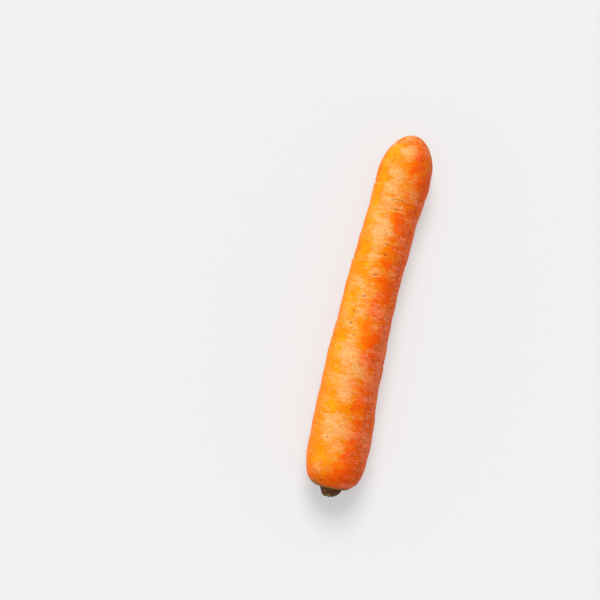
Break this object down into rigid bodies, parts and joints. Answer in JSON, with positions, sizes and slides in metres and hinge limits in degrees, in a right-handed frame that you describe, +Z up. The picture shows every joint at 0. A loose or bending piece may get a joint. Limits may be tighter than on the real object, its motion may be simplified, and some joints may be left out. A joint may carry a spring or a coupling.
{
  "type": "carrot",
  "caption": "Topped carrot lying on its side: long blunt root with ring creases and root scars, and a cut leaf-stalk stub in the dip of its crown.",
  "frame": {"origin": "middle of the underside, on the surface the carrot lies on", "axes": "+Y along the carrot from crown to tip, +Z up from the surface it lies on, +X to the right seen from above with the tip away"},
  "size_m": [0.0358, 0.1954, 0.0321],
  "materials": {
    "root_skin": "fresh carrot skin: orange, thin and slightly waxy, with pale chalky patches where it has dried",
    "dry_stalk": "dried cut leaf stalk: dark brown and fibrous, olive where still green"
  },
  "bodies": {
    "root": {"carrot_root": "root_skin", "leaf_stalk_stub": "dry_stalk"}
  },
  "joints": []
}
